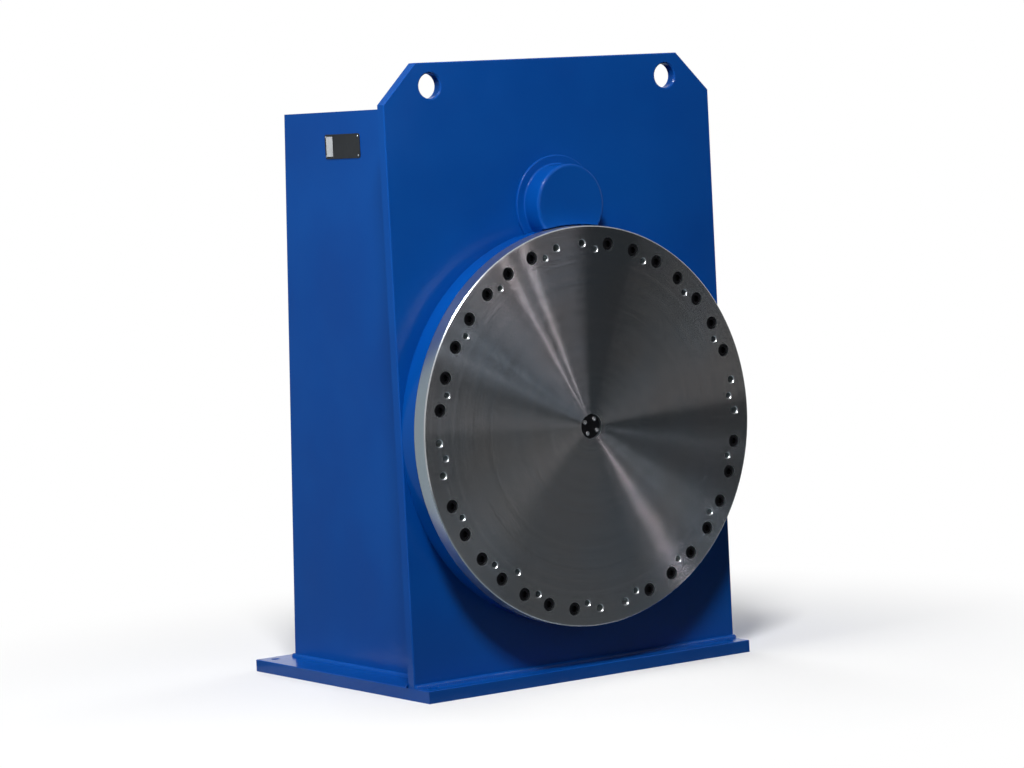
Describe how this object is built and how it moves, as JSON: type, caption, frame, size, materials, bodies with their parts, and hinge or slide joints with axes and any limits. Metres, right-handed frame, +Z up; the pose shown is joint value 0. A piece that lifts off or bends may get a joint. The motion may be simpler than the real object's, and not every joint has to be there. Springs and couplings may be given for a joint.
{
  "type": "welding positioner headstock",
  "caption": "Floor-standing workpiece positioner: a steel cabinet whose large round drilled faceplate turns on a geared slewing ring, driven by a servo gearmotor inside.",
  "frame": {"origin": "on the floor, at the middle of the footprint below the whole part", "axes": "+Z up, the faceplate faces -Y and turns about a Y-wise axis, +X to the right seen from the front"},
  "size_m": [1.22, 1.045, 1.9],
  "materials": {
    "blue_enamel": "gloss enamel",
    "turned_steel": "turned in fine rings",
    "black_oxide": "blackened",
    "bright_steel": "ground",
    "gear_steel": "machined and greased",
    "zinc_steel": "zinc plated",
    "bronze": "machined",
    "copper": "machined copper",
    "graphite": "pressed copper-graphite",
    "seal_rubber": "moulded",
    "insulator": "laminate",
    "gearbox_grey": "satin paint",
    "adapter_aluminium": "machined",
    "motor_black": "satin paint",
    "connector_metal": "nickel plated",
    "gland_black": "moulded"
  },
  "bodies": {
    "headstock": {"base_plate": "blue_enamel", "front_plate": "blue_enamel", "side_plate_left": "blue_enamel", "side_plate_right": "blue_enamel", "top_plate": "blue_enamel", "rear_sill": "blue_enamel", "rear_cover": "blue_enamel", "gear_guard": "blue_enamel", "pinion_cap": "blue_enamel", "pinion_cap_screws": "blue_enamel", "stiffener_rib_left": "blue_enamel", "stiffener_rib_right": "blue_enamel", "bearing_screws": "black_oxide", "sensor_nuts": "bright_steel", "bearing_inner_ring": "gear_steel", "rear_cover_screws": "zinc_steel", "gearbox_screws": "zinc_steel", "motor_screws": "zinc_steel", "brush_holder_screws": "zinc_steel", "grease_nipples": "bronze", "work_return_terminal": "copper", "bearing_seal_front": "seal_rubber", "bearing_seal_rear": "seal_rubber", "shaft_seal": "seal_rubber", "brush_holder_upper": "insulator", "brush_holder_lower": "insulator", "brush_cap_upper": "insulator", "brush_cap_lower": "insulator", "gearbox_housing": "gearbox_grey", "motor_adapter": "adapter_aluminium", "servo_motor": "motor_black", "encoder_cover": "motor_black", "motor_connectors": "connector_metal", "home_sensor": "connector_metal", "cable_glands": "gland_black"},
    "turntable": {"faceplate": "turned_steel", "faceplate_screws": "black_oxide", "gear_ring": "gear_steel", "centre_cap": "black_oxide", "centre_cap_screws": "bright_steel", "ground_ring": "copper", "ground_ring_screws": "copper", "home_dog": "black_oxide", "home_dog_screws": "black_oxide"},
    "pinion": {"pinion_gear": "gear_steel", "pinion_shaft": "bright_steel", "pinion_key": "bright_steel", "pinion_retainer": "black_oxide", "retainer_bolt": "black_oxide"},
    "roller_set": {"rollers": "bright_steel", "roller_cage": "bronze"},
    "brush_upper": {"ground_brush_upper": "graphite"},
    "brush_lower": {"ground_brush_lower": "graphite"}
  },
  "joints": [
    {"name": "faceplate_turn", "type": "hinge", "parent": "headstock", "child": "turntable", "pos_m": [0, -0.52247, 0.776], "axis": [0, -1, 0], "continuous": true},
    {"name": "pinion_turn", "type": "hinge", "parent": "headstock", "child": "pinion", "pos_m": [0, -0.39753, 1.452], "axis": [0, -1, 0], "continuous": true},
    {"name": "roller_orbit", "type": "hinge", "parent": "headstock", "child": "roller_set", "pos_m": [0, -0.4315, 0.776], "axis": [0, -1, 0], "continuous": true},
    {"name": "brush_upper_slide", "type": "slide", "parent": "headstock", "child": "brush_upper", "axis": [0, 1, 0], "range_m": [0, 0.012], "stiffness_N_per_m": 600, "springref_m": -0.01},
    {"name": "brush_lower_slide", "type": "slide", "parent": "headstock", "child": "brush_lower", "axis": [0, 1, 0], "range_m": [0, 0.012], "stiffness_N_per_m": 600, "springref_m": -0.01}
  ],
  "couplings": [
    {"joint": "pinion_turn", "follows": "faceplate_turn", "ratio": -7.0476},
    {"joint": "roller_orbit", "follows": "faceplate_turn", "ratio": 0.50818}
  ]
}
